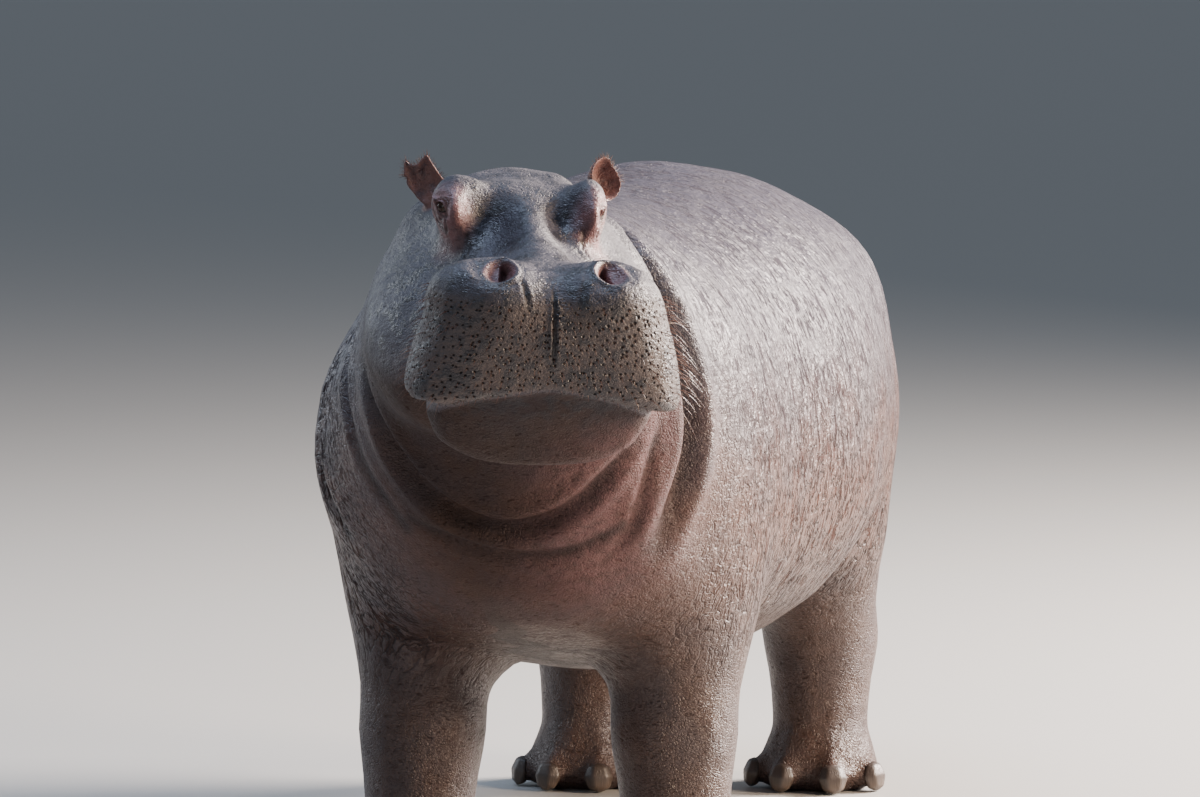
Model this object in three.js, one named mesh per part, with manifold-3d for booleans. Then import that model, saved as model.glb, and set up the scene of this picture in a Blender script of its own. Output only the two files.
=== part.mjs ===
// A life-size standing hippopotamus: a big bull with its weight even on four short legs,
// its head raised and turned to its left, its mouth shut, and one ear torn by old fights.
//
// Millimetres, +Z up. The animal faces -Y, so its own left side is +X. Flesh is written as fields:
// a field is below 0 inside the flesh and grows outwards, about as the distance does. Named masses
// (muscles, lobes, pads) melt into one field, and a closed net of rings and spokes is wrapped on it.
// Thin cuts then part the body into the pieces that a person would name.

import * as THREE from "three";
import { mergeVertices } from "three/addons/utils/BufferGeometryUtils.js";
import Module from "manifold-3d";

const wasm = await Module();
wasm.setup();

// ---- Driving dimensions ------------------------------------------------------------------------

const CUT = 0.8; // width of the thin cuts that part one piece from the next
const NEST = 0.5; // gap round an eyeball or a nail that sits in its own pocket

const RUMP_Y = 1330; // rearmost flesh, without the tail
const WITHERS_Y = -600;
const HIP_Y = 850;
const SHOULDER_CUT = -930; // where the neck is parted from the trunk

const HEAD_LENGTH = 755; // back of the skull to the front of the upper lip
const MUZZLE_WIDTH = 534; // across the bulges over the canine teeth
const HEAD_AT = new THREE.Vector3(37, -1130, 1362); // where the skull meets the neck
const HEAD_TURN = THREE.MathUtils.degToRad(21.4); // to the animal's left
const HEAD_NOD = THREE.MathUtils.degToRad(14.7); // nose down
const HEAD_TILT = THREE.MathUtils.degToRad(2.1); // left side down
const NECK_CUT = 15; // where the head is parted from the neck, in the head's frame

const EYE_RADIUS = 19;
const ORBIT_X = 142; // middle of the mound that carries an eye
const ORBIT_Y = -240;
const FOOT_REACH = 167; // middle of a foot to the front of its toes
const TOE_RADII = [46, 62, 56]; // half the width, length and height of a toe
const NAIL_RADII = [32, 20, 34];
const TOE_HEIGHT = 36; // middle of a toe above the ground
const NAIL_PROUD = 8; // how far a nail stands out of its toe
const NAIL_LEAN = THREE.MathUtils.degToRad(-12); // its top leans back

// ---- Fields ------------------------------------------------------------------------------------

const v3 = (x, y, z) => new THREE.Vector3(x, y, z);

// An egg-shaped mass with three radii. lean turns it about X, Y and Z, in degrees.
function egg(centre, radii, lean = [0, 0, 0]) {
  const turn = new THREE.Quaternion()
    .setFromEuler(new THREE.Euler(...lean.map(THREE.MathUtils.degToRad), "ZXY"))
    .invert();
  const p = v3();
  return (at) => {
    p.copy(at).sub(centre).applyQuaternion(turn);
    const near = Math.hypot(p.x / radii[0], p.y / radii[1], p.z / radii[2]);
    const slope = Math.hypot(p.x / radii[0] ** 2, p.y / radii[1] ** 2, p.z / radii[2] ** 2);
    return slope < 1e-9 ? -Math.min(...radii) : (near * (near - 1)) / slope;
  };
}

// A smooth line through stations of [y, value], level before the first and after the last.
function line(...stations) {
  const slope = (i) => {
    const [a, b] = [stations[Math.max(i - 1, 0)], stations[Math.min(i + 1, stations.length - 1)]];
    return (b[1] - a[1]) / (b[0] - a[0]);
  };
  return (y) => {
    const i = stations.findIndex(([at]) => at > y);
    if (i === 0) return stations[0][1];
    if (i < 0) return stations.at(-1)[1];
    const [[y0, v0], [y1, v1]] = [stations[i - 1], stations[i]];
    const width = y1 - y0;
    const t = (y - y0) / width;
    const rise = t * t * (3 - 2 * t);
    const pull = width * t * (1 - t) * (slope(i - 1) * (1 - t) - slope(i) * t);
    return v0 + (v1 - v0) * rise + pull;
  };
}

// A long mass along Y whose top, underside and half width follow lines, with rounded ends.
// It is widest at the share waist of its depth, and narrows towards its top by the share slant.
// The line square is 2 for an oval section and more for a boxy one.
function loaf({ top, low, half, slant = () => 0, waist, square, ends, rounding }) {
  return (at) => {
    const y = THREE.MathUtils.clamp(at.y, ends[0], ends[1]);
    const widest = low(y) + waist * (top(y) - low(y));
    const depth = at.z > widest ? top(y) - widest : widest - low(y);
    const wide = half(y) * (1 - slant(y) * THREE.MathUtils.clamp((at.z - widest) / depth, 0, 1));
    const power = square(y);
    const [across, above] = [Math.abs(at.x / wide), Math.abs((at.z - widest) / depth)];
    const near = (across ** power + above ** power) ** (1 / power);
    const beside = (near - 1) * Math.min(wide, depth);
    const beyond = Math.max(ends[0] - at.y, at.y - ends[1]);
    const overlap = Math.max(rounding - Math.abs(beside - beyond), 0) / rounding;
    return Math.max(beside, beyond) + (overlap * overlap * rounding) / 4;
  };
}

// A round limb that tapers from one radius to another.
function limb(from, to, fromRadius, toRadius) {
  const along = to.clone().sub(from);
  const length2 = along.lengthSq();
  const p = v3();
  return (at) => {
    p.copy(at).sub(from);
    const share = THREE.MathUtils.clamp(p.dot(along) / length2, 0, 1);
    return p.addScaledVector(along, -share).length() - THREE.MathUtils.lerp(fromRadius, toRadius, share);
  };
}

// Masses that melt into each other over a width of soft.
function melt(soft, ...fields) {
  return (at) =>
    fields.reduce((sum, field) => {
      const next = field(at);
      const overlap = Math.max(soft - Math.abs(sum - next), 0) / soft;
      return Math.min(sum, next) - (overlap * overlap * soft) / 4;
    }, Infinity);
}

// A hollow pressed into a field, with a rim rounded over soft.
function press(soft, field, hollow) {
  return (at) => {
    const body = field(at);
    const dent = -hollow(at);
    const overlap = Math.max(soft - Math.abs(body - dent), 0) / soft;
    return Math.max(body, dent) + (overlap * overlap * soft) / 4;
  };
}

// A field made for the left side, repeated on the right.
function bothSides(field) {
  const p = v3();
  return (at) => field(p.set(Math.abs(at.x), at.y, at.z));
}

const grown = (field, by) => (at) => field(at) - by;

// A field written in a turned frame, read in the frame outside it, and the other way round.
function placed(frame, field) {
  const p = v3();
  const inverse = frame.matrix.clone().invert();
  return (at) => field(p.copy(at).applyMatrix4(inverse));
}
function seenFrom(frame, field) {
  const p = v3();
  return (at) => field(p.copy(at).applyMatrix4(frame.matrix));
}

// ---- Nets and solids ---------------------------------------------------------------------------

// How far a spoke runs from inside the flesh until it leaves it.
function reachOf(field, from, direction, furthest) {
  const STEP = 12;
  const p = v3();
  let inside = 0;
  let outside = STEP;
  while (outside < furthest && field(p.copy(from).addScaledVector(direction, outside)) < 0) {
    inside = outside;
    outside += STEP;
  }
  for (let i = 0; i < 14; i++) {
    const middle = (inside + outside) / 2;
    if (field(p.copy(from).addScaledVector(direction, middle)) < 0) inside = middle;
    else outside = middle;
  }
  return inside;
}

// A closed net of rings round a curve. Past each end of the curve the rings close over it as a dome.
// The net's spacing bends the even steps along the curve, so that rings crowd where the shape needs
// them. up says where its first spoke points, crowd draws the spokes towards that side, and no spoke
// runs further than furthest.
function wrap(field, curve, net) {
  const { rings, spokes, domes, up = v3(0, 0, 1), spacing = (t) => t, crowd = 0, furthest = 900 } = net;
  const hoops = [];
  const addHoop = (t, tip) => {
    const ahead = curve.getTangentAt(t).normalize();
    const side = ahead.clone().cross(up).normalize();
    hoops.push({ centre: curve.getPointAt(t), ahead, side, over: side.clone().cross(ahead), tip });
  };
  const quarter = Math.PI / 2;
  for (let i = 1; i <= domes[0]; i++) addHoop(0, -quarter * (1 - i / (domes[0] + 1)));
  for (let i = 0; i < rings; i++) addHoop(spacing(i / (rings - 1)), 0);
  for (let i = 1; i <= domes[1]; i++) addHoop(1, quarter * (i / (domes[1] + 1)));

  const points = [];
  const faces = [];
  const direction = v3();
  const cast = (hoop) => {
    const reach = reachOf(field, hoop.centre, direction, furthest);
    const p = hoop.centre.clone().addScaledVector(direction, reach);
    points.push(p.x, p.y, p.z);
  };
  for (const hoop of hoops)
    for (let j = 0; j < spokes; j++) {
      const even = (2 * Math.PI * j) / spokes;
      const angle = even - crowd * Math.sin(even);
      direction
        .set(0, 0, 0)
        .addScaledVector(hoop.side, Math.sin(angle) * Math.cos(hoop.tip))
        .addScaledVector(hoop.over, Math.cos(angle) * Math.cos(hoop.tip))
        .addScaledVector(hoop.ahead, Math.sin(hoop.tip));
      cast(hoop);
    }
  const first = hoops[0];
  const last = hoops.at(-1);
  direction.copy(first.ahead).negate();
  cast(first);
  direction.copy(last.ahead);
  cast(last);

  const startPole = hoops.length * spokes;
  for (let j = 0; j < spokes; j++) {
    const next = (j + 1) % spokes;
    faces.push(startPole, next, j);
    for (let i = 0; i + 1 < hoops.length; i++) {
      const a = i * spokes + j;
      const b = i * spokes + next;
      faces.push(a, b, b + spokes, a, b + spokes, a + spokes);
    }
    const rim = (hoops.length - 1) * spokes;
    faces.push(rim + j, rim + next, startPole + 1);
  }
  return new THREE.BufferGeometry()
    .setAttribute("position", new THREE.Float32BufferAttribute(points, 3))
    .setIndex(faces);
}

// A closed three.js geometry as a solid, with a matrix applied if one is given.
function solid(geometry, matrix) {
  const bare = geometry.clone();
  bare.deleteAttribute("normal");
  bare.deleteAttribute("uv");
  if (matrix) bare.applyMatrix4(matrix);
  const merged = mergeVertices(bare, 1e-3);
  const made = new wasm.Manifold(
    new wasm.Mesh({
      numProp: 3,
      vertProperties: merged.attributes.position.array,
      triVerts: new Uint32Array(merged.index.array),
    }),
  );
  if (made.volume() <= 0) throw new Error("a net is inside out");
  return made;
}

// The largest body of a solid as a named mesh: a cut may leave crumbs of a few cubic millimetres.
function piece(name, body, material) {
  const bodies = body.decompose().sort((a, b) => b.volume() - a.volume());
  const { numProp, numVert, vertProperties, triVerts } = bodies[0].getMesh();
  const xyz = new Float32Array(numVert * 3);
  for (let i = 0; i < numVert; i++) xyz.set(vertProperties.subarray(i * numProp, i * numProp + 3), i * 3);
  const geometry = new THREE.BufferGeometry()
    .setAttribute("position", new THREE.BufferAttribute(xyz, 3))
    .setIndex(new THREE.BufferAttribute(triVerts, 1));
  geometry.computeVertexNormals();
  const mesh = new THREE.Mesh(geometry, material);
  mesh.name = name;
  return mesh;
}

// A slab that holds all that lies ahead of (towards -Y), or behind, a plane in a frame.
function halfSpace(frame, y, ahead) {
  const SIZE = 6000;
  const box = new THREE.BoxGeometry(SIZE, SIZE, SIZE).translate(0, y + ((ahead ? -1 : 1) * SIZE) / 2, 0);
  return solid(box, frame.matrix);
}

// ---- Finishes ----------------------------------------------------------------------------------

const hide = new THREE.MeshStandardMaterial({ color: 0x6b5f62, roughness: 0.55, metalness: 0 });
const earHide = new THREE.MeshStandardMaterial({ color: 0x7d5a52, roughness: 0.6, metalness: 0 });
const wetEye = new THREE.MeshStandardMaterial({ color: 0x2a1a10, roughness: 0.08, metalness: 0 });
const horn = new THREE.MeshStandardMaterial({ color: 0x3d322c, roughness: 0.5, metalness: 0 });

// ---- Frames ------------------------------------------------------------------------------------

const body = new THREE.Group();
body.updateMatrix();

const headGroup = new THREE.Group();
headGroup.position.copy(HEAD_AT);
headGroup.rotation.set(HEAD_NOD, HEAD_TILT, HEAD_TURN, "ZXY");
headGroup.updateMatrix();

// ---- Trunk, neck and head as flesh -------------------------------------------------------------

const backLine = line(
  ...[[-1000, 1430], [-800, 1450], [-200, 1456], [300, 1480]],
  ...[[750, 1455], [1000, 1370], [1200, 1230]],
);
const bellyLine = line(
  ...[[-1000, 700], [-750, 540], [-400, 440], [100, 398]],
  ...[[500, 430], [850, 560], [1200, 760]],
);
const flankLine = line(
  ...[[-1000, 370], [-800, 412], [-150, 512], [150, 545]],
  ...[[400, 535], [700, 478], [1000, 388], [1200, 270]],
);
const barrel = loaf({
  top: backLine,
  low: bellyLine,
  half: flankLine,
  waist: 0.46,
  square: line([0, 2.15]),
  ends: [-1000, 1240],
  rounding: 160,
});
const trunkFlesh = melt(
  120,
  barrel,
  egg(v3(0, RUMP_Y - 400, 990), [370, 400, 410]), // rump
  bothSides(egg(v3(240, HIP_Y - 40, 820), [205, 310, 370], [0, 0, -8])), // haunch
  bothSides(egg(v3(262, WITHERS_Y - 10, 850), [192, 260, 390])), // shoulder
  egg(v3(0, -850, 800), [330, 220, 240]), // brisket
);
const neckFlesh = melt(
  120,
  limb(v3(0, -800, 1060), v3(30, -1080, 1205), 390, 290),
  egg(v3(5, -1010, 1010), [325, 240, 280]), // throat
);

// The head is written in its own frame: the skull's joint at 0, the muzzle towards -Y, and the line
// of the lips near z = -40. The upper head runs down past the lips until the mouth is cut.
const lipY = -HEAD_LENGTH;
const profileLine = line(
  ...[[lipY, 160], [-700, 186], [-620, 184], [-520, 156]],
  ...[[-400, 146], [-290, 180], [-140, 214], [60, 196]],
);
const skull = loaf({
  top: profileLine,
  low: line([lipY, -170], [-300, -190], [0, -200]),
  half: line([lipY, 240], [-620, MUZZLE_WIDTH / 2], [-530, 242], [-420, 196], [-300, 194], [-150, 220]),
  slant: line([-600, 0.22], [-450, 0.1], [-250, 0.25]),
  waist: 0.48,
  square: line([-620, 5.5], [-480, 3.2], [-300, 2.3]),
  ends: [lipY, 60],
  rounding: 80,
});
const upperHead = press(
  40,
  melt(
    60,
    skull,
    limb(v3(0, -200, 168), v3(0, -570, 124), 46, 56), // ridge of the nose
    bothSides(egg(v3(104, lipY + 96, 166), [60, 80, 44])), // nostril mound
    bothSides(egg(v3(ORBIT_X, ORBIT_Y, 192), [46, 74, 54], [0, 0, -10])), // orbit
    bothSides(egg(v3(150, -220, -100), [152, 250, 180])), // cheek
  ),
  bothSides(egg(v3(80, -340, 206), [44, 100, 62], [0, 0, -8])), // hollow before the eye
);
const jawFlesh = loaf({
  top: line([lipY, 30]),
  low: line([lipY, -150], [-700, -195], [-620, -215], [-480, -215], [-360, -235], [-240, -285]),
  half: line([lipY, 185], [-700, 215], [-620, 224], [-500, 196], [-400, 184], [-300, 205], [-200, 240]),
  waist: 0.5,
  square: line([0, 2.6]),
  ends: [lipY + 22, -180],
  rounding: 110,
});

const flesh = melt(120, trunkFlesh, melt(80, neckFlesh, placed(headGroup, upperHead)));

// ---- Trunk and legs ----------------------------------------------------------------------------

const spine = new THREE.CatmullRomCurve3([
  v3(0, RUMP_Y - 400, 1000),
  v3(0, 400, 950),
  v3(0, -200, 950),
  v3(0, WITHERS_Y, 980),
  v3(0, -850, 1060),
  v3(37, -1100, 1210),
]);
const torsoNet = { rings: 16, spokes: 24, domes: [4, 3], spacing: (t) => 1 - (1 - t) ** 1.35 };
const torso = solid(wrap(flesh, spine, torsoNet));

// Joints of a left leg from the body down, each [x, y, z, radius].
const FORELEG = [
  [250, WITHERS_Y, 800, 110], // shoulder
  [268, -575, 600, 154], // elbow
  [266, -615, 330, 122], // wrist
  [268, -620, 120, 112], // foot
];
const HINDLEG = [
  [240, HIP_Y - 20, 800, 110], // hip
  [262, 800, 620, 168], // knee
  [268, 925, 360, 122], // hock
  [268, 900, 120, 110], // foot
];
const LEGS = [
  { name: "front_left", joints: FORELEG, side: 1, stride: 40 },
  { name: "front_right", joints: FORELEG, side: -1, stride: -60 },
  { name: "rear_left", joints: HINDLEG, side: 1, stride: 50 },
  { name: "rear_right", joints: HINDLEG, side: -1, stride: -50 },
];
const TOE_ANGLES = [-62, -22, 22, 62]; // from straight ahead, in degrees
const ANKLE_CUT = 205; // where the foot is parted from the leg
const SLEEVE_TOP = 655; // where the leg is parted from the trunk
const SLEEVE_RADIUS = 240;
const SLEEVE_DEPTH = 300; // how far the sleeve that cuts a leg free runs under the ground

const legs = LEGS.map(({ name, joints, side, stride }) => {
  const at = joints.map(([x, y, z], i) => v3(side * x, y + (stride * i) / (joints.length - 1), z));
  const radius = joints.map((joint) => joint[3]);
  const ankle = at.at(-1);
  const bones = at.slice(1).map((joint, i) => limb(at[i], joint, radius[i], radius[i + 1]));
  const toes = TOE_ANGLES.map((angle) => {
    const turn = THREE.MathUtils.degToRad(angle);
    const out = v3(Math.sin(turn), -Math.cos(turn), 0);
    const at = v3(ankle.x, ankle.y, TOE_HEIGHT).addScaledVector(out, FOOT_REACH - TOE_RADII[1]);
    return { angle, out, at };
  });
  const legFlesh = melt(
    40,
    melt(60, ...bones),
    egg(v3(ankle.x, ankle.y + 5, 50), [138, 138, 84]), // pad
    ...toes.map((toe) => egg(toe.at, TOE_RADII, [0, 0, toe.angle])),
  );
  const axis = new THREE.CatmullRomCurve3([...at, v3(ankle.x, ankle.y, 40)]);
  const net = wrap(melt(60, legFlesh, trunkFlesh), axis, {
    rings: 9,
    spokes: 14,
    domes: [1, 2],
    up: v3(0, -1, 0),
    furthest: 215,
  });
  const middle = at[1].clone().add(at[2]).divideScalar(2);
  const sleeve = (by) => {
    const length = SLEEVE_TOP - 2 * SLEEVE_RADIUS + SLEEVE_DEPTH;
    const capsule = new THREE.CapsuleGeometry(SLEEVE_RADIUS + by, length, 2, 10).rotateX(Math.PI / 2);
    return solid(capsule.translate(middle.x, middle.y, SLEEVE_TOP - SLEEVE_RADIUS - length / 2));
  };
  return { name, toes, sleeve, whole: solid(net).trimByPlane([0, 0, 1], 0) };
});

const wholeBody = legs.reduce((sum, leg) => sum.add(leg.whole), torso);
const neckAndTrunk = legs
  .reduce((sum, leg) => sum.subtract(leg.sleeve(CUT)), wholeBody)
  .intersect(halfSpace(headGroup, NECK_CUT + CUT, false));
body.add(
  piece("neck", neckAndTrunk.intersect(halfSpace(body, SHOULDER_CUT, true)), hide),
  piece("trunk", neckAndTrunk.intersect(halfSpace(body, SHOULDER_CUT + CUT, false)), hide),
);

for (const { name, toes, sleeve } of legs) {
  let leg = wholeBody.intersect(sleeve(0));
  toes.forEach((toe, i) => {
    const at = toe.at.clone().addScaledVector(toe.out, TOE_RADII[1] - NAIL_RADII[1] + NAIL_PROUD);
    const nail = (by) =>
      solid(
        new THREE.SphereGeometry(1, 6, 4)
          .rotateX(Math.PI / 2)
          .scale(...NAIL_RADII.map((radius) => radius + by))
          .rotateX(NAIL_LEAN)
          .rotateZ(THREE.MathUtils.degToRad(toe.angle))
          .translate(at.x, at.y, at.z),
      );
    leg = leg.subtract(nail(NEST));
    body.add(piece(`${name}_nail_${i + 1}`, nail(0), horn));
  });
  body.add(
    piece(`${name}_leg`, leg.trimByPlane([0, 0, 1], ANKLE_CUT + CUT), hide),
    piece(`${name}_foot`, leg.trimByPlane([0, 0, -1], -ANKLE_CUT), hide),
  );
}

// ---- Tail --------------------------------------------------------------------------------------

const tailFlesh = melt(
  40,
  limb(v3(0, RUMP_Y - 60, 1120), v3(0, RUMP_Y + 52, 900), 70, 44),
  egg(v3(0, RUMP_Y + 56, 790), [34, 24, 120], [4, 0, 0]),
);
const tailAxis = new THREE.CatmullRomCurve3([
  v3(0, RUMP_Y - 60, 1110),
  v3(0, RUMP_Y + 20, 980),
  v3(0, RUMP_Y + 52, 860),
  v3(0, RUMP_Y + 56, 700),
]);
const tail = solid(wrap(tailFlesh, tailAxis, { rings: 6, spokes: 9, domes: [1, 2], up: v3(0, 1, 0) }));
const torsoCutter = solid(wrap(grown(flesh, CUT), spine, torsoNet));
body.add(piece("tail", tail.subtract(torsoCutter), hide));

// ---- Head and lower jaw ------------------------------------------------------------------------

const headFlesh = seenFrom(headGroup, flesh);
const skullAxis = new THREE.LineCurve3(v3(0, 60, 10), v3(0, lipY + 190, 50));
const headNet = (by) => {
  const field = grown(headFlesh, by);
  const whole = solid(wrap(field, skullAxis, { rings: 16, spokes: 32, domes: [1, 7], crowd: 0.35 }));
  const mounds = [1, -1].map((side) => {
    const [back, front] = [30, -35].map((y) => v3(side * ORBIT_X, ORBIT_Y + y, 176));
    const net = { rings: 3, spokes: 12, domes: [1, 3], furthest: 75 };
    return solid(wrap(field, new THREE.LineCurve3(back, front), net));
  });
  return whole.add(mounds[0]).add(mounds[1]);
};

// The mouth: everything under the edge of the upper lip, which is arched in the middle.
const lipEdge = line([lipY - 40, -44], [-640, -56], [-540, -44], [-460, -56], [-400, -160], [-375, -232]);
const LIP_ARCH = 30;
const mouth = (by) => {
  const [wide, long, floor] = [400, 420, -240];
  const box = new THREE.BoxGeometry(2 * wide, long, 1, 8, 6, 1).translate(0, lipY - 40 + long / 2, 0);
  const corner = box.getAttribute("position");
  for (let i = 0; i < corner.count; i++) {
    const [x, y] = [corner.getX(i), corner.getY(i)];
    const arch = LIP_ARCH * Math.exp(-((x / 130) ** 2)) * THREE.MathUtils.smoothstep(-y, 300, 650);
    corner.setZ(i, corner.getZ(i) > 0 ? lipEdge(y) + arch + by : floor);
  }
  return solid(box);
};

const nostril = (side) => {
  const at = v3(side * 106, lipY + 64, 190);
  const hollow = egg(at, [34, 42, 36], [-40, 0, -14 * side]);
  const axis = new THREE.LineCurve3(at.clone().add(v3(0, 12, -6)), at.clone().add(v3(0, -12, 6)));
  return solid(wrap(hollow, axis, { rings: 2, spokes: 10, domes: [2, 2] }));
};

const eyeball = (side, by) => {
  const ball = new THREE.IcosahedronGeometry(EYE_RADIUS + by, 1);
  return solid(ball.translate(side * (ORBIT_X + 32), ORBIT_Y - 30, 192));
};

let head = headNet(0).subtract(mouth(0)).intersect(halfSpace(body, NECK_CUT, true));
for (const side of [1, -1]) head = head.subtract(nostril(side)).subtract(eyeball(side, NEST));
headGroup.add(piece("head", head, hide));
headGroup.add(piece("eye_left", eyeball(1, 0), wetEye), piece("eye_right", eyeball(-1, 0), wetEye));

const jawAxis = new THREE.LineCurve3(v3(0, -300, -110), v3(0, lipY + 190, -105));
const jaw = solid(wrap(jawFlesh, jawAxis, { rings: 6, spokes: 20, domes: [1, 5] }));
const headCutter = headNet(CUT);
headGroup.add(piece("lower_jaw", jaw.subtract(headCutter.subtract(mouth(-CUT))), hide));

// ---- Ears --------------------------------------------------------------------------------------
// Each is a short stalk that opens into a scoop. An old fight took a bite out of the right one.
// tilt leans an ear sideways and facing turns its opening, both in degrees.

const EARS = [
  { name: "left", at: v3(182, -75, 128), tilt: -4, facing: 14 },
  { name: "right", at: v3(-150, -75, 134), tilt: -31, facing: -8 },
];

for (const { name, at, tilt, facing } of EARS) {
  const ear = new THREE.Object3D();
  ear.position.copy(at);
  ear.rotation.set(...[-4, tilt, facing].map(THREE.MathUtils.degToRad), "YXZ");
  ear.updateMatrix();
  const outside = melt(14, egg(v3(0, 6, 66), [41, 22, 50]), limb(v3(0, 6, -20), v3(0, 6, 36), 32, 27));
  const inside = egg(v3(0, -14, 72), [35, 27, 47]);
  const earAxis = new THREE.LineCurve3(v3(0, 5, 0), v3(0, 6, 80));
  const cupAxis = new THREE.LineCurve3(v3(0, -14, 50), v3(0, -14, 88));
  const alongEar = { spokes: 11, up: v3(0, -1, 0) };
  let shell = solid(wrap(outside, earAxis, { ...alongEar, rings: 4, domes: [1, 3] }));
  shell = shell.subtract(solid(wrap(inside, cupAxis, { ...alongEar, rings: 2, domes: [2, 3] })));
  if (name === "right") {
    const bite = egg(v3(-10, 0, 122), [20, 60, 22], [0, 20, 0]);
    const biteAxis = new THREE.LineCurve3(v3(-10, -10, 122), v3(-10, 10, 122));
    shell = shell.subtract(solid(wrap(bite, biteAxis, { rings: 2, spokes: 10, domes: [2, 2] })));
  }
  shell = shell.transform(ear.matrix.elements).subtract(headCutter);
  headGroup.add(piece(`ear_${name}`, shell, earHide));
}
body.add(headGroup);

// ---- Placing -----------------------------------------------------------------------------------
// The origin is on the ground, under the middle of the whole animal.

body.updateMatrixWorld(true);
const middle = new THREE.Box3().setFromObject(body, true).getCenter(v3());
body.position.set(-middle.x, -middle.y, 0);

export default body;
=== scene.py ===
import math

import bmesh
import bpy
import numpy as np
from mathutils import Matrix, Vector
from mathutils.kdtree import KDTree


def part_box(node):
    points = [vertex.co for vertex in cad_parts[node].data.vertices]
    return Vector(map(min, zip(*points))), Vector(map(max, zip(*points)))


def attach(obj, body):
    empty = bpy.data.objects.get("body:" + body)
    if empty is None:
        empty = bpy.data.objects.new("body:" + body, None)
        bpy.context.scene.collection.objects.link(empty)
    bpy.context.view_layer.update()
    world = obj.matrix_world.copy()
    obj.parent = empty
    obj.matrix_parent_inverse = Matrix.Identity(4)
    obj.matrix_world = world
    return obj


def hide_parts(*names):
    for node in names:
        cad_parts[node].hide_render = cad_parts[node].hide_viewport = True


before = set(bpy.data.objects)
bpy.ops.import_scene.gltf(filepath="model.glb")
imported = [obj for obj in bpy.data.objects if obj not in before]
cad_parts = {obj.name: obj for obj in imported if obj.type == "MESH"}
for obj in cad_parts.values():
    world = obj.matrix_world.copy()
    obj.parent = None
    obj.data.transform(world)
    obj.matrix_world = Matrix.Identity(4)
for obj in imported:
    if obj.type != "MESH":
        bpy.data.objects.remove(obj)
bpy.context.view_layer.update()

# ---- Camera --------------------------------------------------------------------------------------
# A long lens at about the height of the animal's eyes, a little to its left of straight ahead.


def linked(name, data):
    """A new object of the scene, at the origin and unturned."""
    thing = bpy.data.objects.new(name, data)
    bpy.context.scene.collection.objects.link(thing)
    return thing


VIEW_TURN = math.radians(13.5)
VIEW_DROP = math.radians(5)
VIEW_DISTANCE = 12
head_low, head_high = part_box("head")
aim = Vector((head_high.x - 0.128, head_low.y + 0.129, head_high.z - 0.413))
away = Vector(
    (
        math.sin(VIEW_TURN) * math.cos(VIEW_DROP),
        -math.cos(VIEW_TURN) * math.cos(VIEW_DROP),
        math.sin(VIEW_DROP),
    )
)
lens = bpy.data.cameras.new("camera")
lens.lens = 188.1
lens.sensor_width = 36
lens.clip_end = 1000
camera = linked("camera", lens)
camera.location = aim + away * VIEW_DISTANCE
camera.rotation_euler = away.to_track_quat("Z", "Y").to_euler()
bpy.context.scene.camera = camera

# ---- Hide: the body under it ---------------------------------------------------------------------
# The hide of a hippopotamus is one bare, finely cracked skin from lip to tail. The parted solids are
# joined again by voxels, and the flats that they are built of are relaxed into flesh.

LEGS = ("front_left", "front_right", "rear_left", "rear_right")
FLESH = ["trunk", "neck", "head", "lower_jaw", "tail"]
FLESH += [f"{leg}_{part}" for leg in LEGS for part in ("leg", "foot")]
NAILS = {leg: [f"{leg}_nail_{i}" for i in range(1, 5)] for leg in LEGS}
CUT_WIDTH = 0.0008


def joined_copy(names, grow):
    """The named solids in one mesh, each swollen by grow so that the cuts between them close."""
    whole = bmesh.new()
    for name in names:
        part = bmesh.new()
        part.from_mesh(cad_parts[name].data)
        bmesh.ops.remove_doubles(part, verts=part.verts, dist=1e-5)
        part.normal_update()
        for vert in part.verts:
            vert.co += vert.normal * grow
        swollen = bpy.data.meshes.new("part")
        part.to_mesh(swollen)
        whole.from_mesh(swollen)
        bpy.data.meshes.remove(swollen)
        part.free()
    mesh = bpy.data.meshes.new("joined")
    whole.to_mesh(mesh)
    whole.free()
    return mesh


def applied(holder):
    """The mesh of an object with its modifiers worked in. The object itself is removed."""
    depsgraph = bpy.context.evaluated_depsgraph_get()
    result = bpy.data.meshes.new_from_object(holder.evaluated_get(depsgraph))
    bpy.data.objects.remove(holder)
    return result


def evaluated(mesh, **modifiers):
    """A new mesh: this one after the named modifiers, each given as KIND=settings."""
    holder = linked("holder", mesh)
    for kind, settings in modifiers.items():
        modifier = holder.modifiers.new(kind, kind)
        for key, value in settings.items():
            setattr(modifier, key, value)
    return applied(holder)


def middle_of(name):
    """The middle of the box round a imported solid."""
    return np.array(sum(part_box(name), Vector()) / 2)


def points_of(mesh):
    flat = np.empty(len(mesh.vertices) * 3)
    mesh.vertices.foreach_get("co", flat)
    return flat.reshape(-1, 3)


def move_points(mesh, points):
    mesh.vertices.foreach_set("co", points.ravel())
    mesh.update()


def normals_of(mesh):
    flat = np.empty(len(mesh.vertices) * 3)
    mesh.vertex_normals.foreach_get("vector", flat)
    return flat.reshape(-1, 3)


def rise(values, start, end):
    """0 before start, 1 past end, and a smooth step between them. start may be the larger."""
    share = np.clip((values - start) / (end - start), 0, 1)
    return share * share * (3 - 2 * share)


def relax(mesh, steps, share=0.5):
    """Moves each point towards the mean of its neighbours, for its own number of steps."""
    points = points_of(mesh)
    ends = np.empty(len(mesh.edges) * 2, np.int64)
    mesh.edges.foreach_get("vertices", ends)
    a, b = ends[0::2], ends[1::2]
    number = len(points)
    count = np.bincount(ends, minlength=number)
    for step in range(int(steps.max())):
        moving = steps > step
        mean = np.empty_like(points)
        for i in range(3):
            total = np.bincount(a, points[b, i], number) + np.bincount(b, points[a, i], number)
            mean[:, i] = total / count
        points[moving] += share * (mean[moving] - points[moving])
    move_points(mesh, points)


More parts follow.
